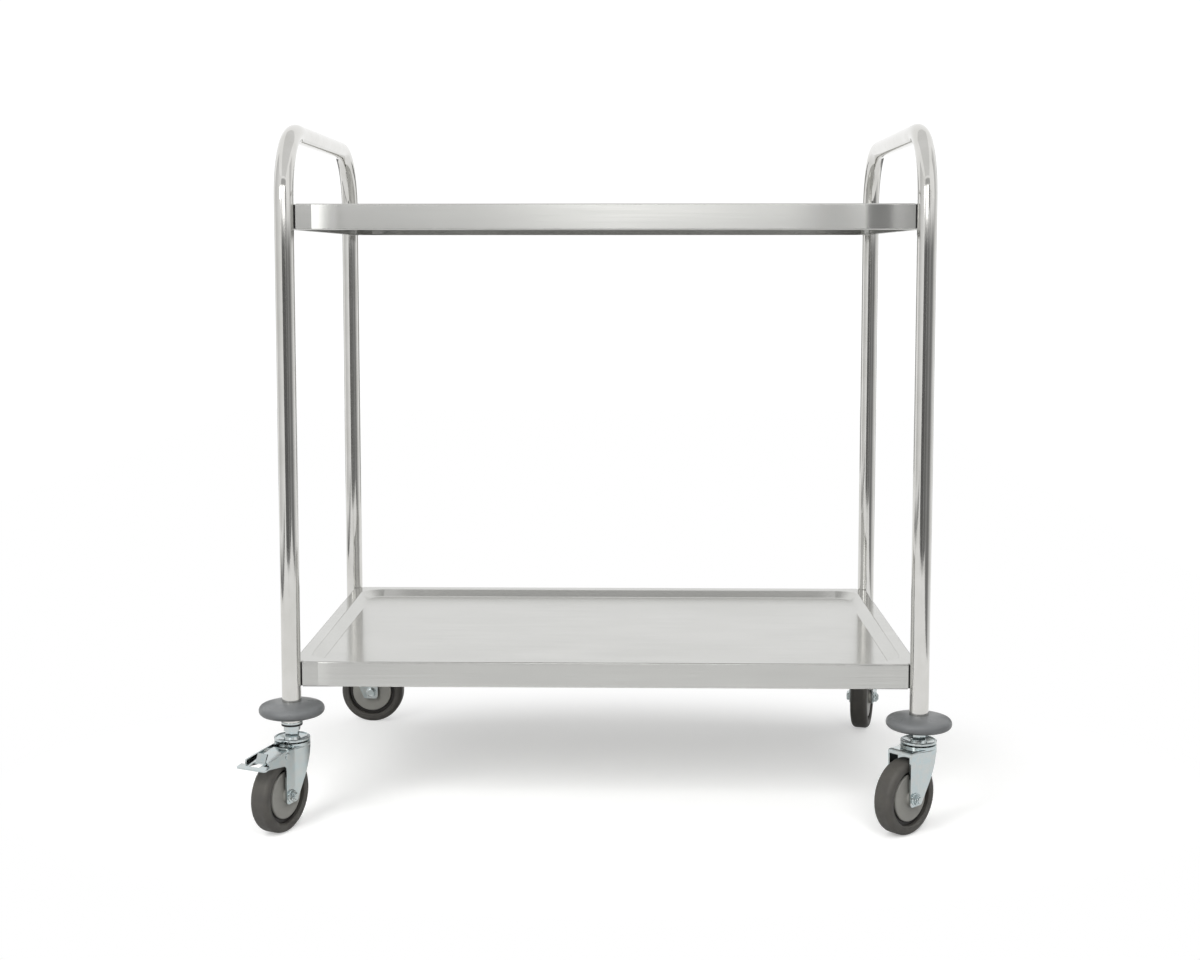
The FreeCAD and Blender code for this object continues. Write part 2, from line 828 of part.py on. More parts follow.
def fork(name, braked):
    """The pressed steel fork: crown, two cheeks and a rounded front, with wings for a brake."""
    body = new_body(name)
    metal = size.fork_metal
    aft = size.wing_reach if braked else leg_aft
    blank = add_chain(new_sketch(body, "blank", "XY", leg_end_low), fork_plan(as_size(0), aft))
    pad(body, blank, crown_top - leg_end_low)
    fillet_where(body, size.fork_bend, lambda edge: edge.BoundBox.ZMin > crown_top.value - TINY)
    hollow = add_chain(new_sketch(body, "hollow", "XY", leg_end_low),
                       fork_plan(size.fork_metal, aft + metal if braked else aft - metal))
    pocket(body, hollow, crown_low - leg_end_low, Reversed=True)
    through = 2 * size.head_dia
    front = -size.head_dia
    front_low = crown_top - size.fork_front_drop
    leg_fore = size.trail - size.leg_end_fore
    below = leg_end_low - metal
    fore_cut = new_sketch(body, "fore_cut", "XZ")
    add_chain(fore_cut, [(front, below), (leg_fore, below), (leg_fore, leg_end_low),
                         (-size.fork_front_run, front_low), (front, front_low)])
    pocket(body, fore_cut, through, Midplane=True)
    toe = Vector(leg_fore.value, 0, leg_end_low.value)

    def at_toe(edge):
        return all(math.hypot(end.X - toe.x, end.Z - toe.z) < TINY for end in edge.Vertexes)

    fillet_where(body, size.leg_end_round, at_toe)
    aft_cut = new_sketch(body, "aft_cut", "XZ")
    corner = size.leg_end_round
    if braked:
        tip_low = size.wing_tip_top - size.wing_tip_height
        web = size.wing_round
        far = size.wing_reach + metal
        add_chain(aft_cut, [
            (leg_aft - corner, leg_end_low, corner), (leg_aft, leg_end_low + corner),
            (leg_aft, size.wing_root_height - web, -web), (leg_aft + web, size.wing_root_height),
            (size.wing_reach, tip_low), (far, tip_low), (far, below), (leg_aft - corner, below),
        ])
        pocket(body, aft_cut, through, Midplane=True)
        roof_cut = new_sketch(body, "roof_cut", "XZ")
        add_chain(roof_cut, [
            (size.crown_cut, crown_top + metal), (size.crown_cut, crown_top),
            (size.wing_reach, size.wing_tip_top), (far, size.wing_tip_top), (far, crown_top + metal),
        ])
        pocket(body, roof_cut, through, Midplane=True)
        well = new_sketch(body, "well", "XY", crown_low - metal)
        add_chain(well, oblong(size.crown_cut, far, -fork_in, fork_in))
        pocket(body, well, 3 * metal, Reversed=True)
        pin_hole = add_circle(new_sketch(body, "pin_hole", "XZ"), size.pivot_out, size.pivot_height,
                              size.pivot_dia / 2 + size.pivot_play)
        pocket(body, pin_hole, through, Midplane=True)
    else:
        far = leg_aft + metal
        add_chain(aft_cut, [
            (leg_aft - corner, leg_end_low, corner), (leg_aft, leg_end_low + corner),
            (far, leg_end_low + corner), (far, below), (leg_aft - corner, below),
        ])
        pocket(body, aft_cut, through, Midplane=True)
        gate = new_sketch(body, "gate", "XZ")
        flange_low = crown_top - size.crown_flange
        add_chain(gate, oblong(leg_aft - 2 * metal, far, below, flange_low))
        pocket(body, gate, 2 * fork_in, Midplane=True)
    ball = size.ball_dia / 2 + size.ball_gap
    circle = size.ball_circle / 2
    down = ball_level - race_top
    half_groove = root(ball * ball - down * down)
    race_r = size.head_dia / 2 - size.race_step
    bore = size.kingpin_dia / 2 + size.kingpin_play
    race = new_sketch(body, "race", "XZ")
    add_chain(race, [
        (bore, crown_top), (race_r, crown_top), (race_r, race_top),
        (circle + half_groove, race_top, -ball), (circle - half_groove, race_top), (bore, race_top),
    ])
    revolve(body, race)
    housing = new_sketch(body, "housing", "XZ")
    add_chain(housing, oblong(race_r - size.housing_wall, race_r, housing_low, crown_top))
    revolve(body, housing)
    shaft = add_circle(new_sketch(body, "shaft", "XY", crown_low - metal), 0, 0, bore)
    pocket(body, shaft, size.race_height + 3 * metal, Reversed=True)
    axle_hole = add_circle(new_sketch(body, "axle_hole", "XZ"), size.trail, wheel_r,
                           size.axle_dia / 2 + size.axle_play)
    pocket(body, axle_hole, through, Midplane=True)
    return body


def hexed_rod(name, low, flats, head, rod_r, top):
    """A hexagon head at low with a plain rod from it to top, along the axle."""
    body = new_body(name)
    hexed = new_sketch(body, "hexagon", "XZ", -low)
    pad(body, add_chain(hexed, hexagon(flats)), head, Reversed=True)
    rod = add_circle(new_sketch(body, "rod", "XZ", -low), 0, 0, rod_r)
    pad(body, rod, top - low, Reversed=True)
    return body


def axle_bolt(name):
    """The wheel's axle bolt and its nut."""
    side = size.fork_width / 2
    rod_r = size.axle_dia / 2
    tip = side + size.axle_nut + size.axle_tail
    bolt = hexed_rod(f"{name}_rod", -side - size.axle_head, size.axle_flats, size.axle_head, rod_r, tip)
    nut = new_body(f"{name}_nut")
    face = new_sketch(nut, "face", "XZ", -side)
    add_chain(face, hexagon(size.axle_flats))
    add_circle(face, 0, 0, rod_r + size.axle_play)
    pad(nut, face, size.axle_nut, Reversed=True)
    return [bolt, nut]


def axle_spacer(name):
    """A steel tube clamped between the fork's cheeks, on which the wheel runs."""
    return spun(name, oblong(size.axle_dia / 2 + size.axle_play, size.spacer_dia / 2, -fork_in, fork_in))


def thread_guard(name, side):
    """A dished disc that covers one side of the wheel and stands still with the fork."""
    rim_face = size.tread_width / 2 - size.rim_inset
    inner = rim_face + size.guard_gap
    outer = inner + size.guard_thick
    bore = size.spacer_dia / 2 + size.axle_play
    boss = size.guard_boss_dia / 2
    edge = size.guard_dia / 2
    dome = size.guard_dome
    points = [
        (bore, inner), (edge, inner), (edge, outer - dome), (edge - dome, outer),
        (boss + dome, outer + dome), (boss, fork_in), (bore, fork_in),
    ]
    if side > 0:
        return spun(name, points)
    return spun(name, [(x, -y) for x, y in points])


def tyre(name):
    """The grey tread: flat in the middle with round shoulders."""
    bore = size.tyre_bore / 2
    half = size.tread_width / 2
    round_r = size.tread_round
    flat = half - round_r
    wall = wheel_r - round_r
    lip = size.tyre_lip
    return spun(name, [
        (bore, lip - half), (bore + lip, -half), (wall, -half, round_r), (wheel_r, -flat),
        (wheel_r, flat, round_r), (wall, half), (bore + lip, half), (bore, half - lip),
    ])


def wheel_core(name):
    """The moulded core: rim under the tread, web and hub."""
    rim = size.tyre_bore / 2 - size.bond_gap
    rim_low = rim - size.rim_thick
    face = size.tread_width / 2 - size.rim_inset
    web = size.web_thick / 2
    hub = size.hub_dia / 2
    bore = size.bush_dia / 2 + size.bond_gap
    draft = size.core_draft
    return spun(name, [
        (bore, -face), (hub, -face), (hub + draft, -web), (rim_low - draft, -web), (rim_low, -face),
        (rim, -face), (rim, face), (rim_low, face), (rim_low - draft, web), (hub + draft, web),
        (hub, face), (bore, face),
    ])


def wheel_bush(name):
    """The plain bush pressed into the core, running on the axle spacer."""
    bore = size.spacer_dia / 2 + size.bush_play
    face = size.tread_width / 2 - size.rim_inset
    return spun(name, oblong(bore, size.bush_dia / 2, -face, face))


def brake_pin(name):
    """The rivet that the brake pedal turns on."""
    side = size.fork_width / 2
    rod = size.pivot_dia / 2
    head = size.pivot_head_dia / 2
    reach = side + size.pivot_head
    chamfer = size.pivot_head / 2
    return spun(name, [
        (0, -reach), (head - chamfer, -reach), (head, chamfer - reach), (head, -side), (rod, -side),
        (rod, side), (head, side), (head, reach - chamfer), (head - chamfer, reach), (0, reach),
    ])


def brake_pedal(name):
    """The pressed brake pedal, drawn about its pivot with its plate level, then tipped to its slope."""
    body = new_body(name)
    metal = size.pedal_metal
    reach = size.pedal_reach - size.pivot_out
    lip_start = reach - size.pedal_lip
    neck_half = fork_in - size.pedal_side_gap
    lip_half = size.pedal_width / 2
    corner = size.pedal_round
    window_end = size.window_start + size.window_length
    half_window = size.window_width / 2
    plate_low = size.pedal_lift
    back = -size.pedal_back
    plate = new_sketch(body, "plate", "XY", plate_low)
    add_chain(plate, [
        (back, -neck_half), (lip_start, -neck_half), (lip_start, -lip_half),
        (reach - corner, -lip_half, corner), (reach, corner - lip_half),
        (reach, lip_half - corner, corner), (reach - corner, lip_half),
        (lip_start, lip_half), (lip_start, neck_half), (back, neck_half),
    ])
    pad(body, plate, metal)
    window = new_sketch(body, "window", "XY", plate_low - metal)
    add_chain(window, oblong(size.window_start, window_end, -half_window, half_window))
    pocket(body, window, 3 * metal, Reversed=True)
    tongue = new_sketch(body, "tongue", "XZ")
    lean_x = cosine(size.tongue_lean)
    lean_z = sine(size.tongue_lean)
    root_x = size.window_start
    tip_x = root_x - size.tongue_length * lean_x
    tip_z = plate_low + size.tongue_length * lean_z
    add_chain(tongue, [
        (root_x - metal / lean_z, plate_low), (root_x, plate_low), (tip_x, tip_z),
        (tip_x - metal * lean_z, tip_z - metal * lean_x),
    ])
    pad(body, tongue, size.window_width - 2 * size.tongue_gap, Midplane=True)
    cam = new_sketch(body, "cam", "XZ")
    cam_r = size.cam_dia / 2
    nose_x = size.cam_nose * cosine(size.cam_angle)
    nose_z = size.cam_nose * sine(size.cam_angle)
    nose_half = size.cam_nose_width / 2
    add_circle(cam, 0, 0, cam_r)
    pad(body, cam, size.cam_width, Midplane=True)
    nose = new_sketch(body, "nose", "XZ")
    add_chain(nose, [(0, 0), (nose_x - nose_half, -nose_z), (nose_x + nose_half, -nose_z), (cam_r, 0)])
    pad(body, nose, size.cam_width, Midplane=True)
    bore = add_circle(new_sketch(body, "bore", "XZ"), 0, 0, size.pivot_dia / 2 + size.pivot_play)
    pocket(body, bore, 2 * size.pedal_width, Midplane=True)
    return body


def brake_spring(name):
    """A leaf spring under the swivel housing that bears on the pedal's cam."""
    body = new_body(name)
    metal = size.spring_metal
    end = size.pivot_out - size.cam_dia / 2 - size.spring_gap
    bend = size.spring_bend
    end_top = housing_low - size.spring_dip
    side = new_sketch(body, "side", "XZ")
    add_chain(side, [
        (size.spring_start, housing_low - metal), (bend, housing_low - metal),
        (end, end_top - metal), (end, end_top), (bend, housing_low), (size.spring_start, housing_low),
    ])
    pad(body, side, size.spring_width, Midplane=True)
    return body


def castor(corner, side_x, side_y, braked, raised):
    """All the pieces of one castor and the bumper above it, set at the castor's rest direction."""
    leg_x = side_x * half_x
    leg_y = side_y * half_y
    turn = getattr(size, f"{corner}_turn")
    out_x = cosine(turn)
    out_y = sine(turn)
    axle = (leg_x + size.trail * out_x, leg_y + size.trail * out_y, wheel_r)
    pivot = (leg_x + size.pivot_out * out_x, leg_y + size.pivot_out * out_y, size.pivot_height)
    low = bumper_low + size.bumper_raise if raised else bumper_low
    for piece in (
        bumper(f"{corner}_bumper", low),
        stem(f"{corner}_stem"),
        race_cup(f"{corner}_race_cup"),
    ):
        place(piece, leg_x, leg_y)
        keep(piece, piece.Name)
    steel = fork(f"{corner}_fork", braked)
    place(steel, leg_x, leg_y, turn=turn)
    keep(steel, steel.Name)
    for piece in (
        axle_spacer(f"{corner}_axle_spacer"),
        tyre(f"{corner}_tyre"),
        wheel_core(f"{corner}_wheel_core"),
        wheel_bush(f"{corner}_wheel_bush"),
    ):
        place(piece, *axle, turn=turn)
        keep(piece, piece.Name)
    guards = [thread_guard(f"{corner}_guard_{number}", side) for number, side in enumerate((-1, 1))]
    fasteners = axle_bolt(f"{corner}_axle")
    for piece in guards + fasteners:
        place(piece, *axle, turn=turn)
    group(f"{corner}_thread_guards", guards)
    group(f"{corner}_axle_bolt", fasteners)
    if not braked:
        return
    pin = brake_pin(f"{corner}_brake_pin")
    place(pin, *pivot, turn=turn)
    keep(pin, pin.Name)
    leaf = brake_spring(f"{corner}_brake_spring")
    place(leaf, leg_x, leg_y, turn=turn)
    keep(leaf, leaf.Name)
    pedal = brake_pedal(f"{corner}_brake_pedal_level")
    tipped = doc.addObject("Part::Compound", f"{corner}_brake_pedal")
    pedal.Placement = Placement(Vector(0, 0, 0), Rotation(Vector(0, 1, 0), 1))
    bind(pedal, "Placement.Rotation.Angle", size.pedal_slope)
    tipped.Links = [pedal]
    place(tipped, *pivot, turn=turn)
    keep(tipped, tipped.Name)


end_frame("left_end_frame", -1)
end_frame("right_end_frame", 1)
for level_name, rim_level in LEVELS:
    tray(f"{level_name}_shelf", rim_level)
    channel(f"{level_name}_channel", rim_level)
tray_fixings()
swivel_balls()
stem_sleeves()
stem_washers()
for corner_facts in CORNERS:
    castor(*corner_facts)

doc.recompute()
for item in doc.Objects:
    if "Invalid" in item.State or "Error" in item.State:
        raise RuntimeError(f"{item.Name} failed to rebuild")
for node in nodes:
    if node.Shape.isNull() or not node.Shape.isValid():
        raise RuntimeError(f"{node.Label} has no valid shape")

os.makedirs("parts", exist_ok=True)
for node in nodes:
    node.Shape.exportStep(f"parts/{node.Label}.step")
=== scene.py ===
import json
import math

import bpy
from mathutils import Matrix, Vector


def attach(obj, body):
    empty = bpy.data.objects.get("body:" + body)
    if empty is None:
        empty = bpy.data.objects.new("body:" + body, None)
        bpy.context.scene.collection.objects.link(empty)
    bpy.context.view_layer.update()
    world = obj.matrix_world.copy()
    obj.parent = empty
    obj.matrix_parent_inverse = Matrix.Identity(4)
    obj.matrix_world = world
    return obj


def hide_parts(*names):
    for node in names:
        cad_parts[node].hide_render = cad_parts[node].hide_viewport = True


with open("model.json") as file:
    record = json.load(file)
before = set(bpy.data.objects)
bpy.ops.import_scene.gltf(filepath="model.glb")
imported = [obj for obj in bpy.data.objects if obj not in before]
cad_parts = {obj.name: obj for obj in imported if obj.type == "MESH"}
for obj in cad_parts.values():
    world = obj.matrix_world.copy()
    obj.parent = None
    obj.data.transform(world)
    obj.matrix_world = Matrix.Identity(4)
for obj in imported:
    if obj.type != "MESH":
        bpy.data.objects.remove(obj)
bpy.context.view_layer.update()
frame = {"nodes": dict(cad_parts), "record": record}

# Service cart: finishes, axle bolts, studio light and camera.
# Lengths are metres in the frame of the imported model: the origin is on the floor under the middle
# of the four legs, X runs along the cart, Y to the rear and Z up.

MM = 0.001

# Photograph's camera: its frame and focal length in pixels, the row of its axis, its place and its angles
PHOTO_WIDTH = 1200
PHOTO_HEIGHT = 960
SENSOR_MM = 36.0
FOCAL_PIXELS = 1674.85
AXIS_ROW = 400.87
CAMERA_PLACE = (0.0356, -2.4441, 0.7565)
CAMERA_YAW = -1.082
CAMERA_PITCH = 4.847

# White floor: its edges, its tone as seen and as it throws light back, the lift that the camera sees,
# and the oval round the cart in which it turns plain white
FLOOR_FRONT = -2.2
FLOOR_BACK = 6.0
FLOOR_LEFT = -1.95
FLOOR_RIGHT = 1.4
FLOOR_WHITE = "#eeeeed"
FLOOR_STRAY = "#9a9a99"
FLOOR_LIFT = 0.31
FADE_CENTRE = -0.05
FADE_STRETCH = 1.7
FADE_START = 0.50
FADE_STOP = 0.90

# White round about: its strength as stray light and as seen, also in metal
FILL_LEVEL = 0.50
MIRRORED_LEVEL = 1.07

# Soft lamps: place, the point they are aimed at, width, height and the brightness of the face
SOFTBOXES = {
    "left_softbox": ((-1.16, -1.77, 1.50), (0, 0, 0.1), 1.0, 1.2, 7.9),
    "right_softbox": ((0.57, -1.95, 1.58), (0, 0, 0.1), 1.0, 1.2, 6.1),
    "top_softbox": ((0, -0.3, 2.6), (0, 0, 0), 1.4, 1.4, 2.4),
}

# The studio that bright metal mirrors: upright pieces, each with its foot and its top, below which it fades
# from white to its own brightness
STUDIO_FOOT = -0.7
WALL_FADE = 0.14
# Walls and screens at the sides and the rear, with stops of X, Y and brightness
SIDE_WALLS = {
    "left_wall": (STUDIO_FOOT, 3.0, [
        (-3.0, 0.6, 0.70), (-3.0, -1.0, 0.80), (-3.0, -2.2, 0.92),
        (-2.4, -2.96, 0.97), (-1.55, -2.96, 0.97),
    ]),
    "right_wall": (STUDIO_FOOT, 0.92, [(2.6, -2.96, 0.30), (2.6, -1.6, 0.20), (2.6, -0.6, 0.36)]),
    "far_right_wall": (STUDIO_FOOT, 3.0, [(2.6, -0.6, 0.60), (2.6, 0.2, 0.80), (2.6, 0.9, 0.85)]),
    "left_skirting": (STUDIO_FOOT, 0.10, [(-2.25, 0.8, 0.22), (-2.25, -2.6, 0.22)]),
    "rear_left_screen": (STUDIO_FOOT, 1.4, [(-2.7, 2.6, 0.45), (-1.35, 3.0, 0.14)]),
    "rear_right_screen": (STUDIO_FOOT, 1.4, [(1.35, 3.0, 0.14), (2.7, 2.6, 0.45)]),
}
# Pieces across the front, each at one Y, with stops of X and brightness
FRONT_PIECES = {
    "front_wall": (STUDIO_FOOT, 0.92, -2.96, [(-1.5, 0.09), (-0.5, 0.12), (1.4, 0.20), (2.6, 0.34)]),
    "umbrella": (0.87, 1.95, -2.92, [
        (-0.95, 1.42), (-0.5, 1.5), (0.0, 2.7), (0.4, 1.95), (0.74, 2.55), (0.82, 0.7),
    ]),
    "right_shade": (0.9, 2.0, -2.94, [(0.83, 0.30), (1.5, 0.30)]),
    "left_lamp": (0.95, 2.0, -2.90, [(-2.3, 4.0), (-1.62, 3.6), (-1.25, 1.7), (-1.0, 1.2)]),
    "lamp_shade": (1.9, 2.6, -2.95, [(-1.5, 0.50), (1.5, 0.50)]),
    "near_stand": (STUDIO_FOOT, 0.9, -2.90, [(-1.15, 0.45), (-1.06, 0.45)]),
    "slim_stand": (STUDIO_FOOT, 0.9, -2.90, [(-0.55, 0.40), (-0.49, 0.40)]),
    "thin_stand": (STUDIO_FOOT, 0.9, -2.90, [(0.30, 0.45), (0.35, 0.45)]),
    "middle_stand": (STUDIO_FOOT, 1.5, -2.90, [(0.55, 0.40), (0.68, 0.40)]),
    "right_stand": (STUDIO_FOOT, 1.6, -2.90, [(1.95, 0.30), (2.15, 0.30)]),
}
CEILING_HEIGHT = 2.75
CEILING_HALF = 1.3
CEILING_FRONT = -2.9
CEILING_LEVEL = 0.84

# The long skirts' faces fall back towards the corners: between which distances from the middle along X,
# how far, and the distance from the middle along Y past which only those faces lie
SPRUNG_START = 0.335
SPRUNG_STOP = 0.382
SPRUNG_DEPTH = 3.5 * MM
SKIRT_FACE = 0.2545

# Axle bolts and nuts, in millimetres: half the fork's width over its cheeks, the rod and the hexagons
FORK_HALF = 19.0
ROD_RADIUS = 4.0
HEX_FLATS = 13.0
RING_STEPS = 72
SHARP_DEGREES = 25
# Rings from the cheek outwards: height, radius and whether six flats cut the ring
NUT_RINGS = [
    (0.0, 8.4, False), (0.8, 8.4, False), (1.1, 8.1, False), (1.5, 7.5, True), (4.3, 7.5, True),
    (4.8, 7.0, True), (5.1, 6.4, False), (5.2, 5.6, False), (6.2, 5.5, False), (6.7, 5.1, False),
    (6.8, 4.7, False), (6.6, 4.2, False), (6.4, 4.0, False), (7.4, 4.0, False), (7.8, 3.5, False),
]
HEAD_RINGS = [
    (0.0, 8.2, False), (0.7, 8.2, False), (1.0, 7.9, False), (1.3, 7.5, True), (4.2, 7.5, True),
    (4.8, 6.9, True), (5.1, 6.3, False), (5.3, 5.6, False), (5.1, 4.6, False),
]

# The middle stretch of a noise, where most of its values lie
NOISE_LOW = 0.35
NOISE_HIGH = 0.65

scene = bpy.context.scene


# Shader helpers
def linear(hex_colour):
    """Turn an sRGB hex colour into the linear RGBA that shaders take."""
    parts = [int(hex_colour[i:i + 2], 16) / 255 for i in (1, 3, 5)]
    return [p / 12.92 if p <= 0.04045 else ((p + 0.055) / 1.055) ** 2.4 for p in parts] + [1.0]


def add(tree, kind, inputs=None, **settings):
    """Add a node; an input takes a value, an output, or a node, whose first output in use feeds it."""
    node = tree.nodes.new(kind)
    for name, value in settings.items():
        setattr(node, name, value)
    for key, value in (inputs or {}).items():
        sockets = [entry for entry in node.inputs if entry.enabled]
        socket = sockets[key] if isinstance(key, int) else next(s for s in sockets if s.name == key)
        if isinstance(value, bpy.types.Node):
            value = next(entry for entry in value.outputs if entry.enabled)
        if isinstance(value, bpy.types.NodeSocket):
            tree.links.new(value, socket)
        else:
            socket.default_value = value
    return node


def new_material(name):
    """An empty node material and its tree."""
    material = bpy.data.materials.new(name)
    material.use_nodes = True
    material.node_tree.nodes.clear()
    return material, material.node_tree


def cart_place(tree, size_mm):
    """Places in the cart's own frame, counted in steps of the given size along X, Y and Z."""
    place = add(tree, "ShaderNodeTexCoord").outputs["Object"]
    return add(tree, "ShaderNodeMapping", {"Vector": place, "Scale": [1 / (mm * MM) for mm in size_mm]})


def spread(value, low, high, start=NOISE_LOW, stop=NOISE_HIGH):
    """Inputs that carry the stretch of a value from start to stop over to low and high."""
    return {"Value": value, "From Min": start, "From Max": stop, "To Min": low, "To Max": high}


def seen_directly(tree):
    """1 for rays from the camera, from bright metal and through glass, 0 for stray light."""
    rays = add(tree, "ShaderNodeLightPath").outputs
    mirrored = add(tree, "ShaderNodeMath", {0: rays["Is Glossy Ray"], 1: rays["Is Transmission Ray"]},
                   operation="MAXIMUM")
    return add(tree, "ShaderNodeMath", {0: rays["Is Camera Ray"], 1: mirrored}, operation="MAXIMUM")


# Finishes
def polished_tube():
    """Stainless tube, polished along its length: mirror bright, with faint drawn lines and hand smudges."""
    material, tree = new_material("polished_stainless_tube")
    drawn = add(tree, "ShaderNodeTexNoise", {
        "Vector": cart_place(tree, (1.6, 1.6, 120)), "Scale": 1.0, "Detail": 3.0,
    })
    smudge = add(tree, "ShaderNodeTexNoise", {
        "Vector": cart_place(tree, (28, 28, 45)), "Scale": 1.0, "Detail": 4.0,
    })
    drawn_rough = add(tree, "ShaderNodeMapRange", spread(drawn, 0.035, 0.075))
    smudge_rough = add(tree, "ShaderNodeMapRange", spread(smudge, 0.0, 0.035))
    rough = add(tree, "ShaderNodeMath", {0: drawn_rough, 1: smudge_rough}, operation="ADD")
    dulled = add(tree, "ShaderNodeMapRange", spread(smudge, 0.0, 1.0))
    colour = add(tree, "ShaderNodeMix", {"Factor": dulled, "A": linear("#d6d5d2"), "B": linear("#cecdc9")},
                 data_type="RGBA")
    bump = add(tree, "ShaderNodeBump", {"Height": drawn, "Strength": 0.05, "Distance": 0.02 * MM})
    shader = add(tree, "ShaderNodeBsdfPrincipled", {
        "Base Color": colour, "Metallic": 1.0, "Roughness": rough, "Normal": bump,
    })
    add(tree, "ShaderNodeOutputMaterial", {"Surface": shader})
    return material


def sprung_ends(tree):
    """Normals of the long skirts, which fall back a little at the corners, where the fold is notched."""
    place = add(tree, "ShaderNodeTexCoord").outputs["Object"]
    spot = add(tree, "ShaderNodeSeparateXYZ", {"Vector": place}).outputs
    along = add(tree, "ShaderNodeMath", {0: spot["X"]}, operation="ABSOLUTE")
    across = add(tree, "ShaderNodeMath", {0: spot["Y"]}, operation="ABSOLUTE")
    fall = add(tree, "ShaderNodeMapRange", spread(along, 0.0, 1.0, SPRUNG_START, SPRUNG_STOP))
    depth = add(tree, "ShaderNodeMath", {0: fall, 1: fall}, operation="MULTIPLY")
    on_skirt = add(tree, "ShaderNodeMath", {0: across, 1: SKIRT_FACE}, operation="GREATER_THAN")
    height = add(tree, "ShaderNodeMath", {0: depth, 1: on_skirt}, operation="MULTIPLY")
    return add(tree, "ShaderNodeBump", {"Height": height, "Strength": 1.0, "Distance": SPRUNG_DEPTH},
               invert=True)


def brushed_sheet():
    """Stainless sheet, brushed along the cart: soft streaked reflections, sharp across the brush lines."""
    material, tree = new_material("brushed_stainless_sheet")
    # The real brush lines are about 0.2 mm apart; they are drawn 1.2 mm apart so that they show
    lines = add(tree, "ShaderNodeTexNoise", {
        "Vector": cart_place(tree, (160, 1.2, 1.2)), "Scale": 1.0, "Detail": 3.0,
    })
    cloud = add(tree, "ShaderNodeTexNoise", {
        "Vector": cart_place(tree, (140, 90, 30)), "Scale": 1.0, "Detail": 3.0,
    })
    line_rough = add(tree, "ShaderNodeMapRange", spread(lines, 0.185, 0.215))
    cloud_rough = add(tree, "ShaderNodeMapRange", spread(cloud, -0.012, 0.012))
    rough = add(tree, "ShaderNodeMath", {0: line_rough, 1: cloud_rough}, operation="ADD")
    worn = add(tree, "ShaderNodeMapRange", spread(lines, 0.0, 1.0))
    colour = add(tree, "ShaderNodeMix", {"Factor": worn, "A": linear("#cbcbc8"), "B": linear("#c8c8c5")},
                 data_type="RGBA")
    bump = add(tree, "ShaderNodeBump", {
        "Height": lines, "Strength": 0.03, "Distance": 0.02 * MM, "Normal": sprung_ends(tree),
    })
    # The small upright share turns the brush lines down the end skirts, where the sheet is folded
    along = add(tree, "ShaderNodeCombineXYZ", {"X": 1.0, "Z": 0.001})
    shader = add(tree, "ShaderNodeBsdfPrincipled", {
        "Base Color": colour, "Metallic": 1.0, "Roughness": rough, "Anisotropic": 0.9,
        "Anisotropic Rotation": 0.25, "Tangent": along, "Normal": bump,
    })
    add(tree, "ShaderNodeOutputMaterial", {"Surface": shader})
    return material


def zinc_plate():
    """Bright zinc plate over pressed steel: bluish, slightly hazy, with a fine orange-peel skin."""
    material, tree = new_material("bright_zinc_plate")
    haze = add(tree, "ShaderNodeTexNoise", {
        "Vector": cart_place(tree, (9, 9, 9)), "Scale": 1.0, "Detail": 4.0,
    })
    peel = add(tree, "ShaderNodeTexNoise", {
        "Vector": cart_place(tree, (1.4, 1.4, 1.4)), "Scale": 1.0, "Detail": 2.0,
    })
    hazed = add(tree, "ShaderNodeMapRange", spread(haze, 0.0, 1.0))
    colour = add(tree, "ShaderNodeMix", {"Factor": hazed, "A": linear("#bbc6c8"), "B": linear("#c3c7c6")},
                 data_type="RGBA")
    rough = add(tree, "ShaderNodeMapRange", spread(haze, 0.08, 0.17))
    bump = add(tree, "ShaderNodeBump", {"Height": peel, "Strength": 0.10, "Distance": 0.05 * MM})
    shader = add(tree, "ShaderNodeBsdfPrincipled", {
        "Base Color": colour, "Metallic": 1.0, "Roughness": rough, "Normal": bump,
    })
    add(tree, "ShaderNodeOutputMaterial", {"Surface": shader})
    return material


def bright_steel():
    """Plain turned and ground steel inside the joints: grey, with a slight oily sheen."""
    material, tree = new_material("plain_bright_steel")
    haze = add(tree, "ShaderNodeTexNoise", {
        "Vector": cart_place(tree, (4, 4, 4)), "Scale": 1.0, "Detail": 4.0,
    })
    oiled = add(tree, "ShaderNodeMapRange", spread(haze, 0.0, 1.0))
    colour = add(tree, "ShaderNodeMix", {"Factor": oiled, "A": linear("#b9b8b4"), "B": linear("#a5a4a0")},
                 data_type="RGBA")
    rough = add(tree, "ShaderNodeMapRange", spread(haze, 0.2, 0.35))
    shader = add(tree, "ShaderNodeBsdfPrincipled", {
        "Base Color": colour, "Metallic": 1.0, "Roughness": rough,
    })
    add(tree, "ShaderNodeOutputMaterial", {"Surface": shader})
    return material


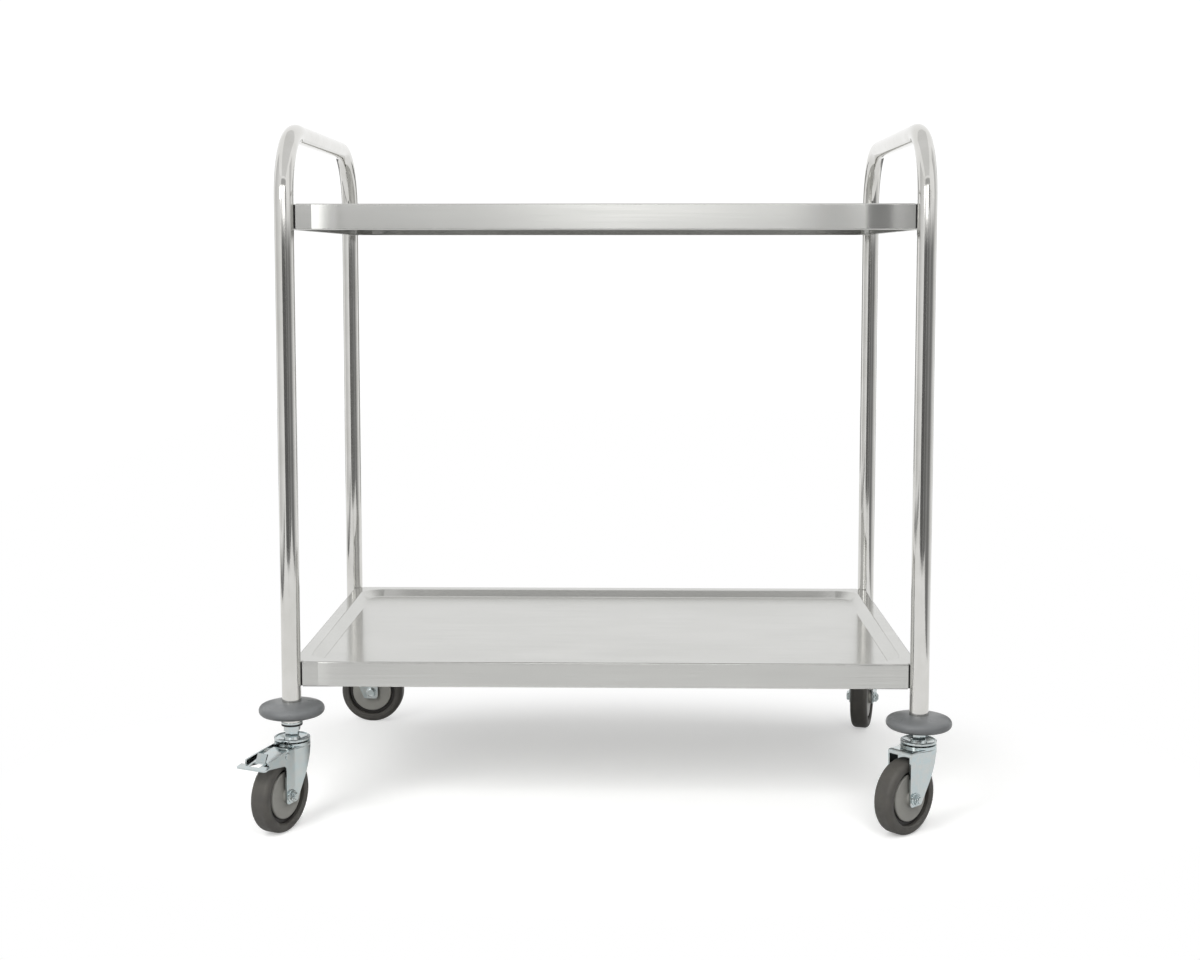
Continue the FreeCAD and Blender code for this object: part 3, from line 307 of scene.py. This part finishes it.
def moulded(name, first, second, roughness, skin_mm, depth_mm):
    """A moulded plastic or rubber: two close tones in soft clouds and a fine moulded skin."""
    material, tree = new_material(name)
    cloud = add(tree, "ShaderNodeTexNoise", {
        "Vector": cart_place(tree, (22, 22, 22)), "Scale": 1.0, "Detail": 3.0,
    })
    skin = add(tree, "ShaderNodeTexNoise", {
        "Vector": cart_place(tree, (skin_mm, skin_mm, skin_mm)), "Scale": 1.0, "Detail": 2.0,
    })
    toned = add(tree, "ShaderNodeMapRange", spread(cloud, 0.0, 1.0))
    colour = add(tree, "ShaderNodeMix", {"Factor": toned, "A": linear(first), "B": linear(second)},
                 data_type="RGBA")
    cloud_rough = add(tree, "ShaderNodeMapRange", spread(cloud, roughness - 0.05, roughness + 0.05))
    skin_rough = add(tree, "ShaderNodeMapRange", spread(skin, -0.04, 0.04))
    rough = add(tree, "ShaderNodeMath", {0: cloud_rough, 1: skin_rough}, operation="ADD")
    bump = add(tree, "ShaderNodeBump", {"Height": skin, "Strength": 0.3, "Distance": depth_mm * MM})
    shader = add(tree, "ShaderNodeBsdfPrincipled", {
        "Base Color": colour, "Roughness": rough, "IOR": 1.5, "Normal": bump,
    })
    add(tree, "ShaderNodeOutputMaterial", {"Surface": shader})
    return material


# The finish of each material slot
FINISHES = {
    "tube_steel": polished_tube(),
    "tray_steel": brushed_sheet(),
    "zinc_steel": zinc_plate(),
    "fastener_steel": bright_steel(),
    # Soft vinyl from a polished mould: a satin grey with a broad glint
    "bumper_plastic": moulded("grey_moulded_vinyl", "#6a6c6d", "#646667", 0.34, 0.9, 0.03),
    # Dished guards: a warm grey, duller than the bumpers
    "guard_plastic": moulded("grey_moulded_polypropylene", "#96958f", "#8e8d88", 0.42, 0.8, 0.03),
    # Wheel cores: nearly black, a painted shade standing for the shadow in the groove between tread and
    # guard
    "core_plastic": moulded("polypropylene_with_painted_groove_shade", "#211f1c", "#1a1816", 0.5, 0.8, 0.03),
    # Bushes: the milky white of undyed acetal
    "bush_plastic": moulded("natural_acetal", "#d8d5cb", "#cdcac0", 0.35, 0.6, 0.02),
    # Sleeves inside the legs: plain black
    "sleeve_plastic": moulded("black_moulded_nylon", "#1d1d1c", "#171716", 0.45, 0.8, 0.03),
    # Treads: a dull warm grey with a coarser skin
    "tyre_rubber": moulded("grey_moulded_rubber", "#4c4a45", "#454340", 0.55, 1.1, 0.05),
    # Liners and washers: dull black rubber, partly a painted shade standing for the shadowed gaps between
    # the metal pieces
    "liner_rubber": moulded("black_rubber_and_painted_gap_shade", "#141413", "#0f0f0e", 0.6, 0.8, 0.03),
}


def dress_nodes():
    """Give every carried-over piece the finish of its material slot."""
    for entry in frame["record"]["subparts"]:
        mesh = frame["nodes"][entry["node"]].data
        mesh.materials.clear()
        mesh.materials.append(FINISHES[entry["material_slot"]])


def new_mesh(name, points, faces):
    """An object of the given points and faces, in the scene."""
    mesh = bpy.data.meshes.new(name)
    mesh.from_pydata(points, [], faces)
    item = bpy.data.objects.new(name, mesh)
    scene.collection.objects.link(item)
    return item


# Axle bolts
def hex_reach(angle):
    """How far from its axis a hexagon's side lies at the given angle, in millimetres."""
    sixth = math.pi / 3
    return HEX_FLATS / 2 / math.cos((angle + sixth / 2) % sixth - sixth / 2)


def turned_mesh(name, rings):
    """A closed piece about Z from rings in millimetres: height, radius and whether six flats cut it."""
    points = []
    faces = []
    for height, radius, six_sided in rings:
        for step in range(RING_STEPS):
            angle = 2 * math.pi * step / RING_STEPS
            reach = min(radius, hex_reach(angle)) if six_sided else radius
            points.append((reach * math.cos(angle) * MM, reach * math.sin(angle) * MM, height * MM))
    for ring in range(len(rings) - 1):
        for step in range(RING_STEPS):
            beside = (step + 1) % RING_STEPS
            low = ring * RING_STEPS
            high = low + RING_STEPS
            faces.append((low + step, low + beside, high + beside, high + step))
    faces.append(tuple(reversed(range(RING_STEPS))))
    faces.append(tuple(range(len(points) - RING_STEPS, len(points))))
    return new_mesh(name, points, faces)


def axle_fasteners():
    """Each wheel's axle bolt: a flanged head, a self-locking nut and the bolt's end standing out of it."""
    head = [(-FORK_HALF - height, radius, six) for height, radius, six in reversed(HEAD_RINGS)]
    rod = [(-FORK_HALF, ROD_RADIUS, False), (FORK_HALF, ROD_RADIUS, False)]
    nut = [(FORK_HALF + height, radius, six) for height, radius, six in NUT_RINGS]
    for joint in frame["record"]["behaviour"]["joints"]:
        if not joint["name"].endswith("_roll"):
            continue
        corner = joint["name"].removesuffix("_roll")
        bolt = turned_mesh(f"{corner}_axle_fastener", head + rod + nut)
        turn = Vector((0, 0, 1)).rotation_difference(Vector(joint["axis"]))
        bolt.data.transform(Matrix.Translation(joint["pos_m"]) @ turn.to_matrix().to_4x4())
        bolt.data.shade_smooth()
        bolt.data.set_sharp_from_angle(angle=math.radians(SHARP_DEGREES))
        bolt.data.materials.append(FINISHES["zinc_steel"])
        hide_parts(f"{corner}_axle_bolt")
        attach(bolt, f"{corner}_castor")


# Studio
def white_floor():
    """A plain white floor that keeps the cart's shadow and runs out into white away from it."""
    corners = [(FLOOR_LEFT, FLOOR_FRONT, 0), (FLOOR_RIGHT, FLOOR_FRONT, 0),
               (FLOOR_RIGHT, FLOOR_BACK, 0), (FLOOR_LEFT, FLOOR_BACK, 0)]
    floor = new_mesh("floor", corners, [(0, 1, 2, 3)])
    material, tree = new_material("white_studio_floor")
    seen = seen_directly(tree)
    tone = add(tree, "ShaderNodeMix", {"Factor": seen, "A": linear(FLOOR_STRAY), "B": linear(FLOOR_WHITE)},
               data_type="RGBA")
    lit = add(tree, "ShaderNodeBsdfDiffuse", {"Color": tone})
    place = add(tree, "ShaderNodeTexCoord").outputs["Object"]
    oval = add(tree, "ShaderNodeMapping", {
        "Vector": place, "Location": (0, -FADE_CENTRE * FADE_STRETCH, 0), "Scale": (1, FADE_STRETCH, 1),
    })
    distance = add(tree, "ShaderNodeVectorMath", {0: oval}, operation="LENGTH")
    fade = add(tree, "ShaderNodeMapRange", spread(distance, 0.0, 1.0, FADE_START, FADE_STOP),
               interpolation_type="SMOOTHSTEP")
    camera_ray = add(tree, "ShaderNodeLightPath").outputs["Is Camera Ray"]
    lift_level = add(tree, "ShaderNodeMath", {0: camera_ray, 1: FLOOR_LIFT}, operation="MULTIPLY")
    lift = add(tree, "ShaderNodeEmission", {"Strength": lift_level})
    near = add(tree, "ShaderNodeAddShader", {0: lit, 1: lift})
    white = add(tree, "ShaderNodeEmission", {"Strength": 1.0})
    share = add(tree, "ShaderNodeMath", {0: seen, 1: fade}, operation="MULTIPLY")
    mixed = add(tree, "ShaderNodeMixShader", {0: share, 1: near, 2: white})
    add(tree, "ShaderNodeOutputMaterial", {"Surface": mixed})
    floor.data.materials.append(material)


def studio_mesh():
    """The studio's upright pieces and ceiling, with each point's brightness and the top of its piece."""
    uprights = list(SIDE_WALLS.values())
    for foot, top, y, stops in FRONT_PIECES.values():
        uprights.append((foot, top, [(x, y, level) for x, level in stops]))
    points = []
    faces = []
    levels = []
    tops = []
    for foot, top, stops in uprights:
        for x, y, level in stops:
            points += [(x, y, foot), (x, y, top)]
            levels += [level, level]
            tops += [top, top]
        first = len(points) - 2 * len(stops)
        faces += [(n, n + 2, n + 3, n + 1) for n in range(first, len(points) - 2, 2)]
    faces.append(tuple(range(len(points), len(points) + 4)))
    for x, y in ((-CEILING_HALF, CEILING_FRONT), (CEILING_HALF, CEILING_FRONT),
                 (CEILING_HALF, CEILING_HALF), (-CEILING_HALF, CEILING_HALF)):
        points.append((x, y, CEILING_HEIGHT))
        levels.append(CEILING_LEVEL)
        # A top well above the ceiling keeps it from fading to white
        tops.append(2 * CEILING_HEIGHT)
    studio = new_mesh("mirrored_studio", points, faces)
    for title, values in (("level", levels), ("top", tops)):
        studio.data.attributes.new(title, "FLOAT", "POINT").data.foreach_set("value", values)
    return studio


def mirrored_studio():
    """Walls, lamps, stands and ceiling of the studio round the cart: only bright metal sees them."""
    studio = studio_mesh()
    material, tree = new_material("painted_studio_walls")
    level = add(tree, "ShaderNodeAttribute", attribute_name="level").outputs["Fac"]
    top = add(tree, "ShaderNodeAttribute", attribute_name="top").outputs["Fac"]
    place = add(tree, "ShaderNodeTexCoord").outputs["Object"]
    height = add(tree, "ShaderNodeSeparateXYZ", {"Vector": place}).outputs["Z"]
    below = add(tree, "ShaderNodeMath", {0: top, 1: height}, operation="SUBTRACT")
    brightness = add(tree, "ShaderNodeMapRange", spread(below, 1.0, level, 0.0, WALL_FADE),
                     interpolation_type="SMOOTHSTEP")
    paint = add(tree, "ShaderNodeEmission", {"Color": linear("#ffffff"), "Strength": brightness})
    add(tree, "ShaderNodeOutputMaterial", {"Surface": paint})
    studio.data.materials.append(material)
    studio.visible_camera = False
    studio.visible_diffuse = False
    studio.visible_shadow = False


def studio_world():
    """White to the camera, metal and glass, and a softer fill on everything else."""
    world = bpy.data.worlds.new("studio")
    world.use_nodes = True
    tree = world.node_tree
    tree.nodes.clear()
    seen = seen_directly(tree)
    level = add(tree, "ShaderNodeMapRange", spread(seen, FILL_LEVEL, MIRRORED_LEVEL, 0.0, 1.0))
    sky = add(tree, "ShaderNodeBackground", {"Color": linear("#ffffff"), "Strength": level})
    add(tree, "ShaderNodeOutputWorld", {"Surface": sky})
    scene.world = world


def soft_lamps():
    """Rectangular lamps with faces of the given brightness, which the metal doesn't mirror."""
    for name, (place, target, width, height, brightness) in SOFTBOXES.items():
        lamp = bpy.data.lights.new(name, "AREA")
        lamp.shape = "RECTANGLE"
        lamp.size = width
        lamp.size_y = height
        lamp.energy = brightness * width * height * math.pi
        item = bpy.data.objects.new(name, lamp)
        item.location = place
        item.rotation_euler = (Vector(target) - Vector(place)).to_track_quat("-Z", "Y").to_euler()
        item.visible_glossy = False
        scene.collection.objects.link(item)


def photo_camera():
    """Stand the camera where the photograph was taken from."""
    data = bpy.data.cameras.new("photo_camera")
    data.sensor_fit = "HORIZONTAL"
    data.sensor_width = SENSOR_MM
    data.lens = FOCAL_PIXELS * SENSOR_MM / PHOTO_WIDTH
    data.shift_y = (AXIS_ROW - PHOTO_HEIGHT / 2) / PHOTO_WIDTH
    data.dof.use_dof = False
    yaw = math.radians(CAMERA_YAW)
    pitch = math.radians(CAMERA_PITCH)
    gaze = Vector((math.sin(yaw) * math.cos(pitch), math.cos(yaw) * math.cos(pitch), -math.sin(pitch)))
    camera = bpy.data.objects.new("photo_camera", data)
    camera.location = CAMERA_PLACE
    camera.rotation_euler = gaze.to_track_quat("-Z", "Y").to_euler()
    scene.collection.objects.link(camera)
    scene.camera = camera


dress_nodes()
axle_fasteners()
white_floor()
mirrored_studio()
studio_world()
soft_lamps()
photo_camera()
scene.view_settings.view_transform = "Standard"
